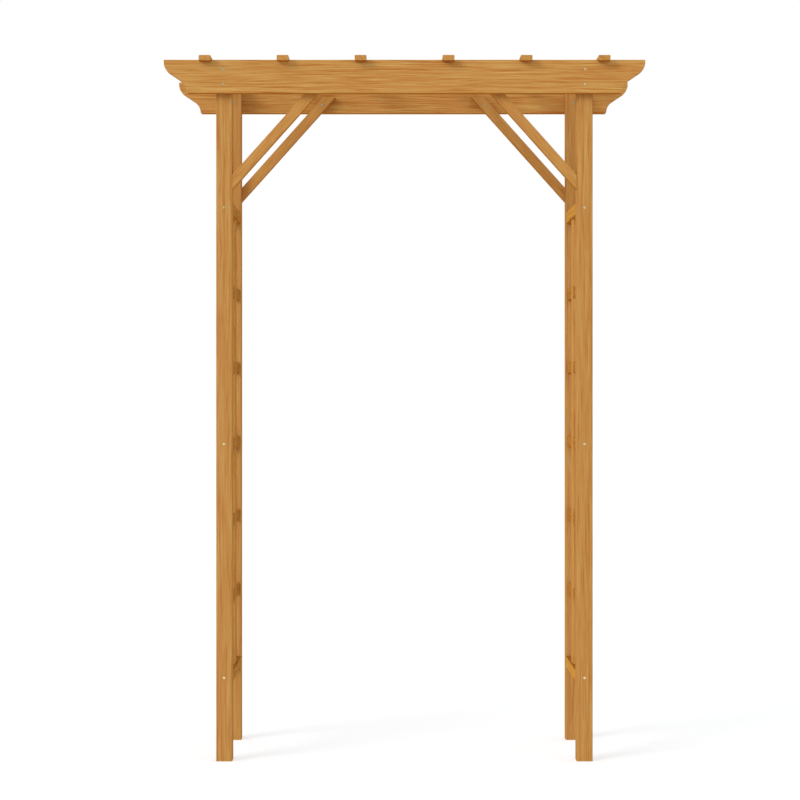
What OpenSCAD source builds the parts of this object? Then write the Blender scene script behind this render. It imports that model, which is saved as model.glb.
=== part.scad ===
// Garden wedding arbor: four posts, two shaped beams, flat rafters across the top,
// corner braces and a slatted panel on each side.
// X runs across the archway, Y from front to back, Z up. The origin is on the ground, at the middle.

/* [Posts] */
// Width and depth of each square post
post_size = 49; // [35:1:70]
// Height of the beams' top edges above the ground
beam_top = 2150; // [1950:1:2400]
// Gap between the posts' tops and the level of the rafters' undersides
post_top_gap = 2; // [0.5:0.5:40]
// Clear width of the archway between the left and right posts
archway_width = 1058; // [950:1:1250]
// Clear depth between the front and back posts of one side
panel_depth = 322; // [260:1:600]

/* [Beams] */
// How far each end of a beam passes the posts' outer faces
beam_overhang = 158.5; // [140:0.5:260]
// Height of the beams
beam_height = 102; // [95:1:110]
// Thickness of the beams
beam_thickness = 23; // [15:1:40]
// Straight drop at the beam's tip, above its rounded end
tip_drop = 7; // [3:0.5:10]
// Radius of the round upper part of the beam's end
nose_radius = 42; // [36:1:44]
// Radius of the hollow lower part of the beam's end
hollow_radius = 47; // [40:1:50]
// How far the end has stepped in where the hollow meets the bottom edge
end_step = 71; // [68:1:90]
// Radius of the small toe at the bottom of the beam's end
toe_radius = 5; // [2:0.5:8]

/* [Rafters] */
// Width of each rafter, across the archway
rafter_width = 36; // [20:1:45]
// Height of each rafter
rafter_height = 15.5; // [10:0.5:40]
// How far each rafter passes the beams' outer faces
rafter_overhang = 28; // [5:1:80]
// Depth of the notches that hold the rafters in the beams' top edges
notch_depth = 5.5; // [2:0.5:9]
// Distance between the centres of the two middle rafters
middle_spacing = 268; // [180:1:300]
// Distance from the beams' tips to the centres of the end rafters
end_rafter_margin = 127.5; // [95:0.5:200]

/* [Braces] */
// Width of each corner brace, measured square to its length
brace_width = 31; // [20:0.5:60]
// Thickness of each corner brace
brace_thickness = 23; // [15:1:45]
// Slope of the braces above the horizontal
brace_slope = 48.2; // [42:0.1:56]
// Distance from the beams' top edges down to the braces' level top ends
brace_top_drop = 52; // [30:1:75]
// Rise of a brace's upper edge, from the post to its level top end
brace_rise = 297; // [220:1:380]

/* [Side panels] */
// Height of the rails
rail_height = 35; // [20:1:60]
// Thickness of the top and bottom rails
rail_thickness = 40; // [24:1:48]
// Thickness of the middle rail
middle_rail_thickness = 35; // [26:1:42]
// Height of the bottom rail's centre line above the ground
bottom_rail_level = 256; // [150:1:350]
// Height of the middle rail's centre line above the ground
middle_rail_level = 974; // [850:1:1050]
// Height of the top rail's centre line above the ground
top_rail_level = 1700; // [1550:1:1760]
// How much more room the topmost slats leave than the others
top_opening_extra = 12; // [0:1:60]
// Height of each slat
slat_height = 35; // [20:1:60]
// Thickness of the slats and of the upright
slat_thickness = 16; // [10:1:20]
// How far the slats and the upright lie behind the posts' inner faces
slat_setback = 5; // [0:0.5:12]
// Width of the upright in the middle of each panel
upright_width = 60; // [30:1:120]

/* [Joinery] */
// Radius of the eased long edges of the timber
eased_radius = 2.5; // [1:0.5:4]
// Clearance at each side of a notch
notch_clearance = 0.3; // [0.2:0.1:1]

/* [Hidden] */
$fn = 48;
// Tiny extra length of a cutting shape past the face it cuts
over = 1;
post_inner = archway_width / 2;
post_centre = post_inner + post_size / 2;
frame_depth = panel_depth + 2 * post_size;
beam_centre_y = (frame_depth + beam_thickness) / 2;
rafter_length = frame_depth + 2 * (beam_thickness + rafter_overhang);
beam_length = archway_width + 2 * (post_size + beam_overhang);
rafter_bottom = beam_top - notch_depth;
// The rafters between the end ones and the middle ones lie halfway
rafter_spacing = ((beam_length - middle_spacing) / 2 - end_rafter_margin) / 2;
rafter_places = [
    for (i = [-2.5 : 2.5])
        sign(i) * (middle_spacing / 2 + (abs(i) - 0.5) * rafter_spacing)
];

// Left end of the beam, from the tip's top corner at the origin down to the bottom edge
nose_centre = [nose_radius, -tip_drop];
hollow_centre = [end_step - hollow_radius, -beam_height];
centre_line = hollow_centre - nose_centre;
// Angle at which the straight stretch touches the nose
nose_end_angle = 360 + atan2(centre_line[1], centre_line[0])
    - acos((nose_radius + hollow_radius) / norm(centre_line));
// Angle at which the toe touches the hollow
toe_angle = asin(toe_radius / (hollow_radius + toe_radius));
toe_centre = hollow_centre + (hollow_radius + toe_radius) * [cos(toe_angle), sin(toe_angle)];
end_points = concat(
    [[0, 0]],
    arc_points(nose_centre, nose_radius, 180, nose_end_angle, 14),
    arc_points(hollow_centre, hollow_radius, nose_end_angle - 180, toe_angle, 13),
    arc_points(toe_centre, toe_radius, 180 + toe_angle, 270, 6)
);

// Brace
brace_top = beam_top - brace_top_drop;
brace_run = brace_rise / tan(brace_slope);
brace_top_width = brace_width / sin(brace_slope);
brace_post_height = brace_width / cos(brace_slope);
brace_centre_y = (frame_depth - brace_thickness) / 2;

// Side panel
slat_inner = post_inner + slat_setback;
lap_depth = slat_thickness / 2;
lower_step = (middle_rail_level - bottom_rail_level) / 3;
upper_step = (top_rail_level - middle_rail_level - top_opening_extra) / 3;
slat_levels = [
    bottom_rail_level + lower_step,
    bottom_rail_level + 2 * lower_step,
    middle_rail_level + upper_step,
    middle_rail_level + 2 * upper_step
];

// Points along an arc, from one angle to another
function arc_points(centre, radius, start, end, steps) = [
    for (i = [0 : steps])
        let (angle = start + (end - start) * i / steps)
            centre + radius * [cos(angle), sin(angle)]
];

// Cross-section of a piece of timber with eased corners, centred
module timber_section(width, height) {
    union() {
        square([width - 2 * eased_radius, height], center = true);
        square([width, height - 2 * eased_radius], center = true);
        for (x = [-1, 1], y = [-1, 1])
            translate([x * (width / 2 - eased_radius), y * (height / 2 - eased_radius)])
                circle(r = eased_radius);
    }
}

// Piece of timber standing on the ground plane
module standing_timber(width, depth, length) {
    linear_extrude(length)
        timber_section(width, depth);
}

// Piece of timber that runs from front to back, centred on the origin
module crossing_timber(width, height, length) {
    rotate([90, 0, 0])
        linear_extrude(length, center = true)
            timber_section(width, height);
}

module post(side, end) {
    color("peru")
        translate([side * post_centre, end * (frame_depth - post_size) / 2, 0])
            standing_timber(post_size, post_size, rafter_bottom - post_top_gap);
}

// Beam's outline seen from the front, with its top edge on the X axis
module beam_outline() {
    notch_width = rafter_width + 2 * notch_clearance;
    difference() {
        translate([-beam_length / 2, 0])
            polygon(concat(
                end_points,
                [
                    for (i = [len(end_points) - 1 : -1 : 0])
                        [beam_length - end_points[i][0], end_points[i][1]]
                ]
            ));
        for (x = rafter_places)
            translate([x - notch_width / 2, -notch_depth])
                square([notch_width, notch_depth + over]);
    }
}

module beam(end) {
    color("chocolate")
        translate([0, end * beam_centre_y, beam_top])
            rotate([90, 0, 0])
                linear_extrude(beam_thickness, center = true)
                    beam_outline();
}

module rafter(place) {
    color("burlywood")
        translate([place, 0, rafter_bottom + rafter_height / 2])
            crossing_timber(rafter_width, rafter_height, rafter_length);
}

// Brace that rises from the left post to the beam, mirrored for the right side
module brace(side, end) {
    color("sandybrown")
        mirror([side > 0 ? 1 : 0, 0, 0])
            translate([-post_inner, end * brace_centre_y, brace_top])
                rotate([90, 0, 0])
                    linear_extrude(brace_thickness, center = true)
                        polygon([
                            [0, -brace_rise - brace_post_height],
                            [0, -brace_rise],
                            [brace_run, 0],
                            [brace_run + brace_top_width, 0]
                        ]);
}

// Top or bottom rail, its inner face flush with the posts' inner faces
module end_rail(side, level) {
    color("sienna")
        translate([side * (post_inner + rail_thickness / 2), 0, level])
            crossing_timber(rail_thickness, rail_height, panel_depth);
}

// Cut that lets the upright into a rail or slat, from the inner face down to the given depth
module upright_housing(side, level, depth, height) {
    width = upright_width + 2 * notch_clearance;
    translate([side * (slat_inner + (depth - over) / 2), 0, level])
        cube([depth + over, width, height + 2 * over], center = true);
}

module middle_rail(side) {
    color("sienna")
        difference() {
            translate([side * (slat_inner + middle_rail_thickness / 2), 0, middle_rail_level])
                crossing_timber(middle_rail_thickness, rail_height, panel_depth);
            upright_housing(side, middle_rail_level, slat_thickness, rail_height);
        }
}

// Slat, halved on its inner side where the upright crosses it
module slat(side, level) {
    color("tan")
        difference() {
            translate([side * (slat_inner + slat_thickness / 2), 0, level])
                crossing_timber(slat_thickness, slat_height, panel_depth);
            upright_housing(side, level, lap_depth, slat_height);
        }
}

// Upright between the bottom and top rails, halved on its outer side at each slat
module upright(side) {
    foot = bottom_rail_level + rail_height / 2;
    head = top_rail_level - rail_height / 2;
    cut_x = slat_inner + lap_depth + (lap_depth + over) / 2;
    color("wheat")
        difference() {
            translate([side * (slat_inner + slat_thickness / 2), 0, foot])
                standing_timber(slat_thickness, upright_width, head - foot);
            for (level = slat_levels)
                translate([side * cut_x, 0, level])
                    cube([
                        lap_depth + over,
                        upright_width + 2 * over,
                        slat_height + 2 * notch_clearance
                    ], center = true);
        }
}

post(-1, -1);  // post_front_left
post(1, -1);  // post_front_right
post(-1, 1);  // post_back_left
post(1, 1);  // post_back_right
beam(-1);  // beam_front
beam(1);  // beam_back
rafter(rafter_places[0]);  // rafter_1
rafter(rafter_places[1]);  // rafter_2
rafter(rafter_places[2]);  // rafter_3
rafter(rafter_places[3]);  // rafter_4
rafter(rafter_places[4]);  // rafter_5
rafter(rafter_places[5]);  // rafter_6
brace(-1, -1);  // brace_front_left
brace(1, -1);  // brace_front_right
brace(-1, 1);  // brace_back_left
brace(1, 1);  // brace_back_right
end_rail(-1, bottom_rail_level);  // left_rail_bottom
middle_rail(-1);  // left_rail_middle
end_rail(-1, top_rail_level);  // left_rail_top
slat(-1, slat_levels[0]);  // left_slat_1
slat(-1, slat_levels[1]);  // left_slat_2
slat(-1, slat_levels[2]);  // left_slat_3
slat(-1, slat_levels[3]);  // left_slat_4
upright(-1);  // left_upright
end_rail(1, bottom_rail_level);  // right_rail_bottom
middle_rail(1);  // right_rail_middle
end_rail(1, top_rail_level);  // right_rail_top
slat(1, slat_levels[0]);  // right_slat_1
slat(1, slat_levels[1]);  // right_slat_2
slat(1, slat_levels[2]);  // right_slat_3
slat(1, slat_levels[3]);  // right_slat_4
upright(1);  // right_upright
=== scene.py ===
import math
import random

import bmesh
import bpy
from mathutils import Euler, Matrix, Vector


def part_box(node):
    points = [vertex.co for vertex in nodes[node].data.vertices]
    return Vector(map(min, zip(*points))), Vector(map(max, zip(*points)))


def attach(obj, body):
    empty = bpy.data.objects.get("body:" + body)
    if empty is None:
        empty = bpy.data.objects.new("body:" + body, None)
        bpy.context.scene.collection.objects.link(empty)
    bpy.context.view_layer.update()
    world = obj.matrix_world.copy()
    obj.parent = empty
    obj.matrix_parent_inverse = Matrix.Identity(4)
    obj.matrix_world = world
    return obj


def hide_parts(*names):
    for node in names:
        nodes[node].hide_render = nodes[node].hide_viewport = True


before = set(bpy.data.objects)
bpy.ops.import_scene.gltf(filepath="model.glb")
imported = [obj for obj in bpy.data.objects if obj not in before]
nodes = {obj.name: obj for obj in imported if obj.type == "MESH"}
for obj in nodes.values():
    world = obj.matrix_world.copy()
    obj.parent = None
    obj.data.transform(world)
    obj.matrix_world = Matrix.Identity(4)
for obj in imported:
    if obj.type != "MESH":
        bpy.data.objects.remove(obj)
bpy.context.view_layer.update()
print("frame loaded:", len(nodes), "pieces of timber")

mm = 0.001


def srgb(red, green, blue):
    # a colour as it looks on a screen, 0 to 255, to the linear one that Blender mixes
    def linear(value):
        value /= 255
        return value / 12.92 if value <= 0.04045 else ((value + 0.055) / 1.055) ** 2.4

    return (linear(red), linear(green), linear(blue), 1)


class Wire:
    # a node socket that sums can be written with: each operator adds a Math node
    def __init__(self, tree, socket=None):
        self.tree = tree
        self.socket = socket

    def add(self, kind, settings=None, values=None, output=0):
        # one node: its settings first, then the values or links of its sockets
        node = self.tree.nodes.new(kind)
        for name, value in (settings or {}).items():
            setattr(node, name, value)
        for place, value in (values or {}).items():
            if isinstance(value, Wire):
                self.tree.links.new(value.socket, node.inputs[place])
            else:
                node.inputs[place].default_value = value
        return Wire(self.tree, node.outputs[output] if node.outputs else None)

    def other(self, output):
        # another output of the same node
        return Wire(self.tree, self.socket.node.outputs[output])

    def maths(self, operation, *values):
        return self.add("ShaderNodeMath", {"operation": operation}, dict(enumerate(values)))

    def __add__(self, other):
        return self.maths("ADD", self, other)

    __radd__ = __add__

    def __sub__(self, other):
        return self.maths("SUBTRACT", self, other)

    def __rsub__(self, other):
        return self.maths("SUBTRACT", other, self)

    def __mul__(self, other):
        return self.maths("MULTIPLY", self, other)

    __rmul__ = __mul__

    def __truediv__(self, other):
        return self.maths("DIVIDE", self, other)

    def __pow__(self, other):
        return self.maths("POWER", self, other)

    def __abs__(self):
        return self.maths("ABSOLUTE", self)


def startMaterial(name):
    material = bpy.data.materials.new(name)
    material.use_nodes = True
    tree = material.node_tree
    tree.nodes.clear()
    return material, Wire(tree)


def finish(wire, sockets):
    # the surface itself
    surface = wire.add("ShaderNodeBsdfPrincipled", values=sockets)
    wire.add("ShaderNodeOutputMaterial", values={"Surface": surface})


def smooth(wire, low, high):
    # 0 at low, 1 at high, with a soft step between
    return wire.add(
        "ShaderNodeMapRange",
        {"interpolation_type": "SMOOTHSTEP"},
        {"Value": wire, "From Min": low, "From Max": high},
    )


def blendColour(factor, first, second):
    return factor.add(
        "ShaderNodeMix", {"data_type": "RGBA"}, {0: factor, 6: first, 7: second}, 2
    )


def tinted(colour, tint):
    # the colour, each part of it multiplied
    return colour.add("ShaderNodeVectorMath", {"operation": "MULTIPLY"}, {0: colour, 1: tint})


def stretched(vector, along):
    # the grain's coordinates, squeezed along the board so that a pattern is drawn out there
    return vector.add("ShaderNodeVectorMath", {"operation": "MULTIPLY"}, {0: vector, 1: (1, 1, along)})


def noise(vector, scale, detail=2, roughness=0.5):
    return vector.add(
        "ShaderNodeTexNoise",
        values={"Vector": vector, "Scale": scale, "Detail": detail, "Roughness": roughness},
    )


def placed(mesh, name):
    # a new piece that stands still with the arbor
    piece = bpy.data.objects.new(name, mesh)
    bpy.context.scene.collection.objects.link(piece)
    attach(piece, "root")
    return piece


timber = {
    "ringWidth": 7 * mm,  # one year's growth
    "heart": (130 * mm, 240 * mm),  # how far the tree's heart lies from a board
    "heartSwing": 14,  # degrees to either side of a board's corner
    "wander": 22 * mm,  # how far the rings stray over a long stretch
    "waves": 5 * mm,  # and over a short one
    "golden": srgb(205, 152, 83),
    "russet": srgb(194, 123, 62),
    "yellow": srgb(218, 178, 106),  # thin bright streaks
    "umber": srgb(172, 96, 40),  # late wood and thin dark streaks
    "endGrain": srgb(134, 82, 40),
    "paintedUnderside": srgb(190, 116, 24),  # painted shade on the undersides, warm like light bounced off the timber
    "paintedTopShade": srgb(139, 82, 15),  # painted shade on the rails' top faces
    "toneSpread": 0.02,  # how much one board differs from the next
    "edgeWidth": 2.5 * mm,
    "roughness": 0.7,
    "bump": 0.4 * mm,
    "ease": 1.2 * mm,  # rounding of the sawn edges
    "braceSlope": 48.2,  # degrees above the horizontal
}

# how fine each layer of the grain is, and how much of its colour shows at the most
grainScale = {"wander": 16, "waves": 24, "bands": 100, "streaks": 340, "fibre": 900}
colourShare = {"bands": 0.3, "late": 0.3, "fibre": 0.25, "endGrain": 0.1, "paintedUnderside": 0.7}

# how strongly the grain shows, how short it is along the board, how the colour differs
# in red, green and blue, with painted light and shade in it, how the edges are lightened as
# painted highlight (above 1) and darkened as painted shade (below 1), and how much painted shade the
# top face gets
sorts = {
    "beam": (0.8, 0.02, (0.98, 0.99, 1.01), 0.8, 0),
    "post": (0.52, 0.016, (0.91, 0.9, 0.94), 1, 0),
    "brace": (0.4, 0.04, (0.95, 0.94, 0.96), 0.7, 0),
    "rafter": (0.5, 0.028, (1, 1, 1.02), 0.85, 0),
    # slats and middle rails: darkened and warmed as painted shade
    "slat": (0.5, 0.028, (0.75, 0.65, 0.47), 0.95, 0),
    "rail_middle": (0.5, 0.028, (0.78, 0.68, 0.51), 0.95, 0.2),
    # rails: the left ones darkened as painted shade, the right ones lightened as painted light
    "left_rail_top": (0.6, 0.028, (0.82, 0.78, 0.66), 1.1, 0.25),
    "right_rail_top": (0.6, 0.028, (1.05, 1.04, 0.75), 1.1, 0.25),
    "left_rail": (0.6, 0.028, (0.82, 0.78, 0.66), 1.1, 0.8),
    "right_rail": (0.6, 0.028, (1.05, 1.04, 0.75), 1.1, 0.8),
    # uprights: the left one darker as painted shade, both with a painted highlight along the edges
    "left_upright": (0.6, 0.02, (0.87, 0.85, 0.77), 2.2, 0),
    "right_upright": (0.6, 0.02, (0.97, 0.98, 0.98), 1.4, 0),
}


def grainTurn(node):
    # the turn that stands a board's grain upright
    if node.startswith("post") or node.endswith("upright"):
        return Euler((0, 0, 0))
    if node.startswith("beam"):
        return Euler((0, -math.pi / 2, 0))
    if node.startswith("brace"):
        lean = math.radians(90 - timber["braceSlope"])
        return Euler((0, -lean if node.endswith("left") else lean, 0))
    return Euler((math.pi / 2, 0, 0))


def boardSize(node, turn):
    # a board's middle and half its size, once its grain stands upright
    points = [turn.to_matrix() @ vertex.co for vertex in nodes[node].data.vertices]
    low = Vector([min(point[axis] for point in points) for axis in range(3)])
    high = Vector([max(point[axis] for point in points) for axis in range(3)])
    return (low + high) / 2, (high - low) / 2


def woodMaterial(node, seed):
    # solid wood: growth rings round the tree's heart, drawn out along the grain
    draw = random.Random(seed)
    turn = grainTurn(node)
    middle, half = boardSize(node, turn)
    heart = draw.uniform(*timber["heart"])
    swing = timber["heartSwing"]
    side = math.radians(45 + 90 * draw.randrange(4) + draw.uniform(-swing, swing))
    offset = Vector((heart * math.cos(side), heart * math.sin(side), draw.uniform(-3, 3)))
    tone = 1 + draw.uniform(-1, 1) * timber["toneSpread"]
    sort = next(sort for sort in sorts if sort in node)
    contrast, shortness, tint, edgeTone, paintedTopShade = sorts[sort]

    material, wire = startMaterial("timber_" + node)
    place = wire.add("ShaderNodeTexCoord", output=3)
    board = wire.add(
        "ShaderNodeMapping", values={"Vector": place, "Location": -middle, "Rotation": turn}
    )
    grain = wire.add("ShaderNodeVectorMath", {"operation": "ADD"}, {0: board, 1: offset})
    across = wire.add("ShaderNodeSeparateXYZ", values={0: grain})
    deep, along = across.other("Y"), across.other("Z")

    wander = noise(stretched(grain, 0.06), grainScale["wander"])
    waves = noise(stretched(grain, 0.2), grainScale["waves"])
    radius = (across * across + deep * deep) ** 0.5
    radius = radius + (wander - 0.5) * timber["wander"] + (waves - 0.5) * timber["waves"]
    layer = wire.add(
        "ShaderNodeCombineXYZ", values={0: radius, 1: (across - deep) * 0.3, 2: along * shortness}
    )
    bands = noise(layer, grainScale["bands"])
    streaks = noise(layer, grainScale["streaks"], 3, 0.65)
    fibre = noise(stretched(grain, 0.02), grainScale["fibre"])
    years = radius / timber["ringWidth"] + bands * 1.5
    ring = years.maths("FRACT", years)
    late = smooth(ring, 0.35, 0.9) * (1 - smooth(ring, 0.9, 1.0))

    dark = (1 - smooth(bands, 0.36, 0.6)) * (colourShare["bands"] * contrast)
    colour = blendColour(dark, timber["golden"], timber["russet"])
    colour = blendColour(late * (colourShare["late"] * contrast), colour, timber["umber"])
    colour = blendColour(smooth(streaks, 0.5, 0.68) * contrast, colour, timber["yellow"])
    colour = blendColour((1 - smooth(streaks, 0.31, 0.5)) * contrast, colour, timber["umber"])
    colour = blendColour(smooth(fibre, 0.5, 0.72) * colourShare["fibre"], colour, timber["umber"])
    colour = tinted(colour, [part * tone for part in tint])

    # painted highlight along the edges where edgeTone is above 1, painted shade where it is below 1
    flat = wire.add("ShaderNodeSeparateXYZ", values={0: board})
    width = timber["edgeWidth"]
    edge = smooth(abs(flat), half.x - width, half.x + width / 3)
    edge = edge * smooth(abs(flat.other("Y")), half.y - width, half.y + width / 3)
    colour = blendColour(edge, colour, tinted(colour, [edgeTone] * 3))
    normal = place.other("Normal")
    facing = wire.add(
        "ShaderNodeVectorMath",
        {"operation": "DOT_PRODUCT"},
        {0: normal, 1: turn.to_matrix().inverted() @ Vector((0, 0, 1))},
        "Value",
    )
    end = smooth(abs(facing), 0.6, 0.9)
    colour = blendColour(end * colourShare["endGrain"], colour, timber["endGrain"])
    upward = wire.add("ShaderNodeSeparateXYZ", values={0: normal}).other("Z")
    # painted shade on the faces that look down, warm like light bounced off the timber
    under = (1 - smooth(upward, -0.7, -0.2)) * (1 - end)
    colour = blendColour(under * colourShare["paintedUnderside"], colour, timber["paintedUnderside"])
    # painted shade on the faces that look up
    if paintedTopShade:
        colour = blendColour(smooth(upward, 0.2, 0.7) * paintedTopShade, colour, timber["paintedTopShade"])

    height = fibre * 0.5 + late * 0.25 + streaks * 0.5
    bump = wire.add(
        "ShaderNodeBump", values={"Strength": 0.3, "Distance": timber["bump"], "Height": height}
    )
    surface = {
        "Base Color": colour,
        "Roughness": timber["roughness"] + (fibre - 0.5) * 0.25 - late * 0.05 + end * 0.1,
        "Normal": bump,
        "Specular IOR Level": 0,  # dry and matt, even along a glancing view
    }
    finish(wire, surface)
    return material


def easedBoard(node, width):
    # a copy of a sawn piece with its sharp edges rounded
    bm = bmesh.new()
    bm.from_mesh(nodes[node].data)
    bmesh.ops.remove_doubles(bm, verts=bm.verts, dist=0.01 * mm)
    bmesh.ops.dissolve_limit(
        bm, angle_limit=math.radians(0.5), verts=bm.verts, edges=bm.edges
    )
    sharp = [edge for edge in bm.edges if edge.calc_face_angle(0) > math.radians(30)]
    bmesh.ops.bevel(
        bm,
        geom=sharp,
        offset=width,
        segments=3,
        profile=0.5,
        affect="EDGES",
        material=-1,
        clamp_overlap=True,
    )
    for face in bm.faces:
        face.smooth = True
    mesh = bpy.data.meshes.new("eased_" + node)
    bm.to_mesh(mesh)
    bm.free()
    mesh.set_sharp_from_angle(angle=math.radians(40))
    piece = placed(mesh, "eased_" + node)
    weighted = piece.modifiers.new("flat faces", "WEIGHTED_NORMAL")
    weighted.keep_sharp = True
    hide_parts(node)
    return piece


for number, node in enumerate(sorted(nodes)):
    piece = nodes[node]
    if node.startswith(("beam", "brace")):
        piece = easedBoard(node, timber["ease"])
    piece.data.materials.clear()
    piece.data.materials.append(woodMaterial(node, number + 1))
print("timber finished")

screws = {
    "head": 7.4 * mm,  # across
    "rim": 1 * mm,  # half of it in the wood
    "dome": ((0.4 * mm, 0.45 * mm), (0.7 * mm, 0.3 * mm), (0.5 * mm, 0)),  # inwards, upwards
    "crossReach": 1.9 * mm,
    "crossWidth": 0.9 * mm,
    "recess": 1.1 * mm,
    "rafterSink": 1.2 * mm,  # how deep the rafters' screws are drawn in
    "beamRows": (28.3 * mm, 74.1 * mm),  # below the beams' top edges
    "braceDrop": 26 * mm,  # below a brace's top end
    "braceInset": 20.8 * mm,  # half the width of that end
    "zinc": (  # painted reflections, from the dimmest screws to the brightest
        srgb(179, 184, 155),
        srgb(204, 200, 161),
        srgb(221, 218, 172),
        srgb(240, 229, 184),
    ),
    "cloudScale": 900,
    "scratchScale": 5000,
}


def steelMaterial(shade):
    # zinc plating, slightly cloudy, rougher where it has dulled
    # the shade picks one of the painted reflections
    colour = screws["zinc"][shade]
    material, wire = startMaterial("zinc_" + str(shade))
    place = wire.add("ShaderNodeTexCoord", output=3)
    cloud = noise(place, screws["cloudScale"], 3)
    scratch = noise(place, screws["scratchScale"])
    bump = wire.add(
        "ShaderNodeBump", values={"Strength": 0.2, "Distance": 0.05 * mm, "Height": scratch}
    )
    dulled = tuple(part * 0.75 for part in colour[:3]) + (1,)
    surface = {
        "Base Color": blendColour(smooth(cloud, 0.35, 0.65), dulled, colour),
        "Metallic": 1,
        "Roughness": 0.5 - 0.05 * shade + (cloud - 0.5) * 0.3,
        "Normal": bump,
    }
    finish(wire, surface)
    return material


def screwHead(bm, place, facing, shade, twist, sunk=0):
    # a low round head with a cross recess, its rim a little way into the wood
    first, firstFace = len(bm.verts), len(bm.faces)
    radius = screws["head"] / 2
    bmesh.ops.create_cone(
        bm, cap_ends=True, segments=24, radius1=radius, radius2=radius, depth=screws["rim"]
    )
    bm.faces.ensure_lookup_table()
    upper = screws["rim"] * 0.4
    top = next(face for face in bm.faces[firstFace:] if face.calc_center_median().z > upper)
    for inward, upward in screws["dome"]:
        bmesh.ops.inset_individual(bm, faces=[top], thickness=inward, depth=upward)
    # the last ring is drawn in to the outline of a cross
    reach, narrow = screws["crossReach"], screws["crossWidth"] / 2
    outline = {
        -3: (narrow, -narrow),
        -2: ((reach + narrow) / 2, -narrow),
        -1: (reach, -narrow),
        0: (reach, 0),
        1: (reach, narrow),
        2: ((reach + narrow) / 2, narrow),
    }
    for vertex in top.verts:
        step = round(math.degrees(math.atan2(vertex.co.y, vertex.co.x)) / 15) + 3
        arm = Matrix.Rotation(math.radians(90 * (step // 6)), 3, "Z")
        vertex.co = arm @ Vector((*outline[step % 6 - 3], vertex.co.z))
    bmesh.ops.inset_individual(bm, faces=[top], thickness=0.1 * mm, depth=-screws["recess"])
    bm.verts.ensure_lookup_table()
    bm.faces.ensure_lookup_table()
    for face in bm.faces[firstFace:]:
        face.material_index = shade
    stand = Matrix.Translation((0, 0, -sunk))
    turn = facing.to_track_quat("Z", "Y").to_matrix().to_4x4() @ Matrix.Rotation(twist, 4, "Z")
    matrix = Matrix.Translation(place) @ turn @ stand
    bmesh.ops.transform(bm, matrix=matrix, verts=bm.verts[first:])


def screwRow(name, places, sunk=0):
    draw = random.Random(name)
    bm = bmesh.new()
    for place, facing, shade in places:
        screwHead(bm, Vector(place), Vector(facing), shade, draw.uniform(0, math.pi), sunk)
    bmesh.ops.recalc_face_normals(bm, faces=bm.faces)
    for face in bm.faces:
        face.smooth = True
    mesh = bpy.data.meshes.new(name)
    bm.to_mesh(mesh)
    bm.free()
    mesh.set_sharp_from_angle(angle=math.radians(35))
    for material in zincShades:
        mesh.materials.append(material)
    return placed(mesh, name)


zincShades = [steelMaterial(shade) for shade in range(4)]
beamPlaces, railPlaces, rafterPlaces = [], [], []
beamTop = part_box("beam_front")[1][2]
for end, front in (("front", -1), ("back", 1)):
    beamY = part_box("beam_" + end)[max(front, 0)][1]
    for side in ("left", "right"):
        low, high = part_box("post_" + end + "_" + side)
        postX = (low[0] + high[0]) / 2
        outerY, innerY = (low[1], high[1]) if front < 0 else (high[1], low[1])
        # each screw's shade picks a painted reflection: dimmer on the left, brighter on the right and
        # on the lower rails
        dimReflection = 0 if side == "left" else 1
        for drop in screws["beamRows"]:
            beamPlaces.append(((postX, beamY, beamTop - drop), (0, front, 0), dimReflection))
            beamPlaces.append(((postX, innerY, beamTop - drop), (0, -front, 0), 0))
        for level, shade in (("bottom", 3), ("middle", 2), ("top", dimReflection)):
            railLow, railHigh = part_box(side + "_rail_" + level)
            spot = (postX, outerY, (railLow[2] + railHigh[2]) / 2)
            railPlaces.append((spot, (0, front, 0), shade))
        low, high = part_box("brace_" + end + "_" + side)
        down = screws["braceDrop"]
        inset = down / math.tan(math.radians(timber["braceSlope"])) + screws["braceInset"]
        braceX = high[0] - inset if side == "left" else low[0] + inset
        braceY = high[1] if front < 0 else low[1]
        beamPlaces.append(((braceX, braceY, high[2] - down), (0, -front, 0), 0))
for number in range(1, 7):
    low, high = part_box("rafter_" + str(number))
    for end in ("front", "back"):
        beamLow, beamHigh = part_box("beam_" + end)
        spot = ((low[0] + high[0]) / 2, (beamLow[1] + beamHigh[1]) / 2, high[2])
        rafterPlaces.append((spot, (0, 0, 1), 1))
screwRow("screws_beams", beamPlaces)
screwRow("screws_rails", railPlaces)
screwRow("screws_rafters", rafterPlaces, screws["rafterSink"])
print("screws finished")

view = {
    "place": (-0.048, -6.2535, 1.1386),
    "sensor": 36,
    "lens": 88.596,
    "shift": (0.0140, -0.0119),
}
cameraData = bpy.data.cameras.new("camera")
cameraData.sensor_width = view["sensor"]
cameraData.lens = view["lens"]
cameraData.shift_x, cameraData.shift_y = view["shift"]
cameraData.clip_end = 100
camera = bpy.data.objects.new("camera", cameraData)
camera.location = view["place"]
camera.rotation_euler = (math.pi / 2, 0, 0)
bpy.context.scene.collection.objects.link(camera)
bpy.context.scene.camera = camera

light = {
    "world": 0.76,
    "fill": 0.1,  # more of it from the right
    "sun": 1.38,
    "sunAngle": 27,  # degrees across, for soft shadows
    "turn": 51,  # degrees from the front to the left
    "height": 26,  # degrees above the ground
    "floorShade": (0.543, 0.557, 0.569, 1),  # the floor's own shading, cooled against the bounce
    "floorGlow": 0.52,  # and how much more it takes to be white
    "floorBounce": (0.7, 0.66, 0.57, 1),  # the floor as the timber is lit by it
    "floorSize": 30,
}


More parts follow.
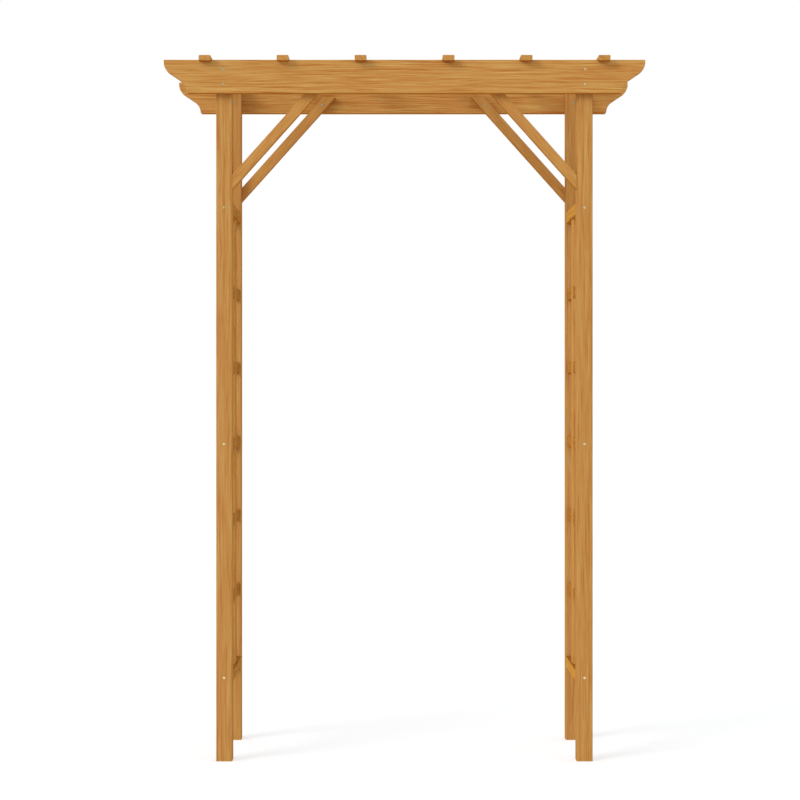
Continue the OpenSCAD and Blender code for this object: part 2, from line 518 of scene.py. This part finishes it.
def seenDirectly(wire):
    # 1 where the camera, a reflection or clear glass looks straight at the surface
    path = wire.add("ShaderNodeLightPath")
    seen = path.maths("MAXIMUM", path, path.other("Is Glossy Ray"))
    return seen.maths("MAXIMUM", seen, path.other("Is Transmission Ray"))


world = bpy.data.worlds.new("studio")
bpy.context.scene.world = world
world.use_nodes = True
world.node_tree.nodes.clear()
wire = Wire(world.node_tree)
sky = wire.add("ShaderNodeTexCoord")
across = wire.add("ShaderNodeSeparateXYZ", values={0: sky})
strength = light["world"] + across.maths("MAXIMUM", across, 0) * light["fill"]
lit = wire.add("ShaderNodeBackground", values={"Color": (1, 1, 1, 1), "Strength": strength})
white = wire.add("ShaderNodeBackground", values={"Color": (1, 1, 1, 1), "Strength": 1})
mixed = wire.add("ShaderNodeMixShader", values={0: seenDirectly(wire), 1: lit, 2: white})
wire.add("ShaderNodeOutputWorld", values={"Surface": mixed})

sunData = bpy.data.lights.new("key", "SUN")
sunData.energy = light["sun"]
sunData.angle = math.radians(light["sunAngle"])
sun = bpy.data.objects.new("key", sunData)
sun.rotation_euler = (
    math.radians(90 - light["height"]),
    0,
    math.radians(-light["turn"]),
)
bpy.context.scene.collection.objects.link(sun)

bm = bmesh.new()
bmesh.ops.create_grid(bm, x_segments=1, y_segments=1, size=light["floorSize"])
floorMesh = bpy.data.meshes.new("floor")
bm.to_mesh(floorMesh)
bm.free()
floor = bpy.data.objects.new("floor", floorMesh)
bpy.context.scene.collection.objects.link(floor)
material, wire = startMaterial("pale floor")

plain = wire.add("ShaderNodeBsdfDiffuse", values={"Color": light["floorBounce"]})
shadow = wire.add("ShaderNodeBsdfDiffuse", values={"Color": light["floorShade"]})
glow = wire.add(
    "ShaderNodeEmission", values={"Color": (1, 1, 1, 1), "Strength": light["floorGlow"]}
)
shown = wire.add("ShaderNodeAddShader", values={0: shadow, 1: glow})
mixed = wire.add("ShaderNodeMixShader", values={0: seenDirectly(wire), 1: plain, 2: shown})
wire.add("ShaderNodeOutputMaterial", values={"Surface": mixed})
floorMesh.materials.append(material)

bpy.context.scene.view_settings.view_transform = "Standard"
print("stage set")
